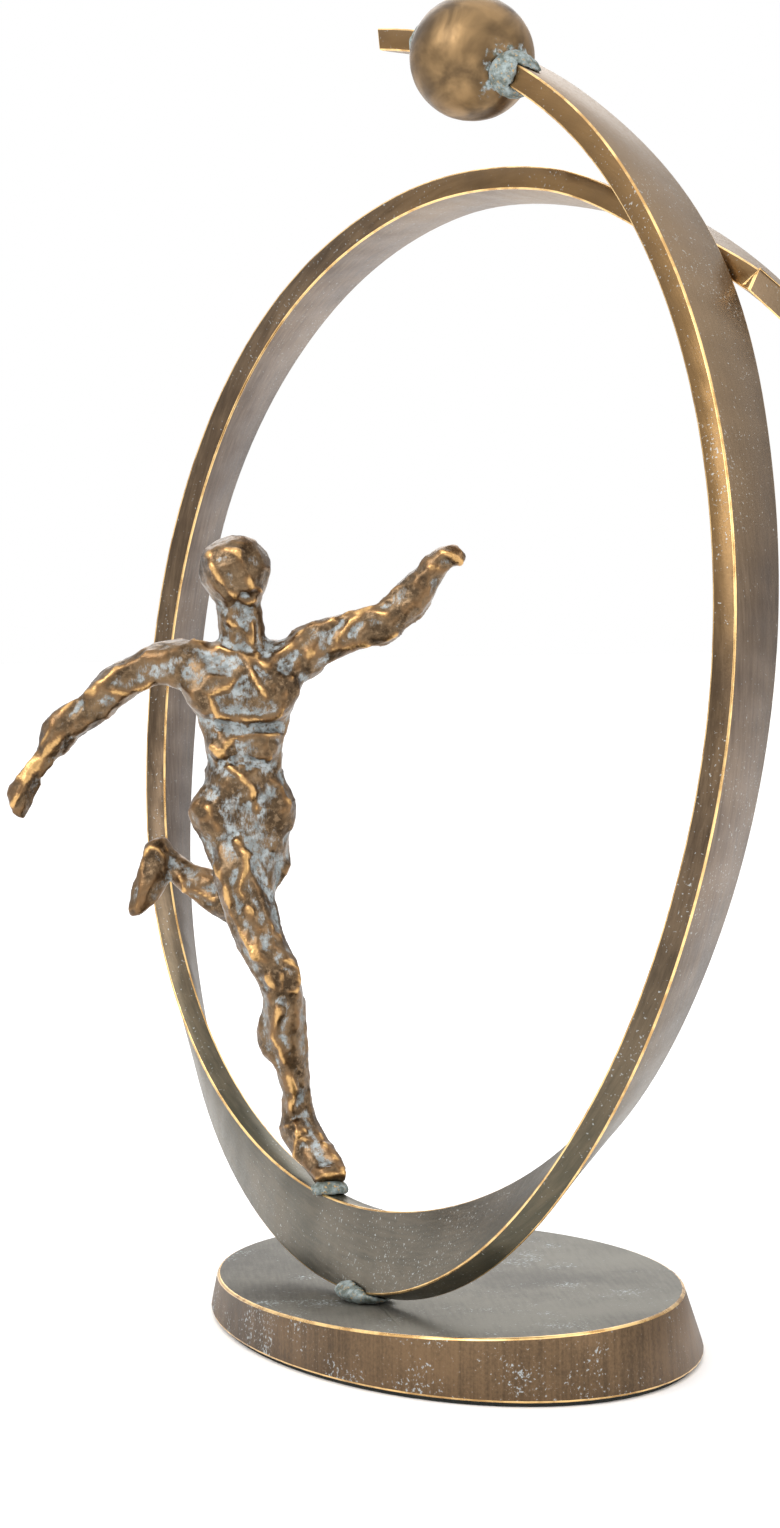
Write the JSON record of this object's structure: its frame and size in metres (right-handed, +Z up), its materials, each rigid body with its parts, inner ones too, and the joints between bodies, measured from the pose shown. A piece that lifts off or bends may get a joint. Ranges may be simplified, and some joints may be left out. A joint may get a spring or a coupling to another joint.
{
  "type": "figure trophy",
  "caption": "Cast bronze trophy: a faceted football player kicks off from inside an open twisted hoop that carries a ball near its free end and stands on an oval foot",
  "frame": {"origin": "centre of the felt's underside, which lies on the table", "axes": "+Z up; the hoop's middle plane is near XZ, with the ball at the top and the figure on the -X side; -Y is the side that the figure faces"},
  "size_m": [0.2749, 0.1573, 0.3254],
  "materials": {
    "foot_bronze": "matte grey-brown patina, worn bright on the upper edge",
    "hoop_bronze": "satin brown patina, golden on the narrow faces and bright on the edges",
    "ball_bronze": "satin golden bronze",
    "figure_bronze": "dark patina with worn golden ridges and blue-grey verdigris in the hollows",
    "verdigris_braze": "matte blue-grey verdigris over a braze bead",
    "fixing_steel": "plain",
    "felt": "felt"
  },
  "bodies": {
    "root": {"foot_casting": "foot_bronze", "foot_felt": "felt", "hoop": "hoop_bronze", "hoop_stud": "fixing_steel", "hoop_nut": "fixing_steel", "hoop_washer": "fixing_steel", "hoop_braze": "verdigris_braze", "ball": "ball_bronze", "ball_braze_right": "verdigris_braze", "ball_braze_left": "verdigris_braze", "figure_body": "figure_bronze", "figure_right_arm": "figure_bronze", "figure_left_arm": "figure_bronze", "figure_raised_leg": "figure_bronze", "right_arm_dowel": "fixing_steel", "left_arm_dowel": "fixing_steel", "raised_leg_dowel": "fixing_steel", "toe_pin": "fixing_steel", "toe_braze": "verdigris_braze"}
  },
  "joints": []
}
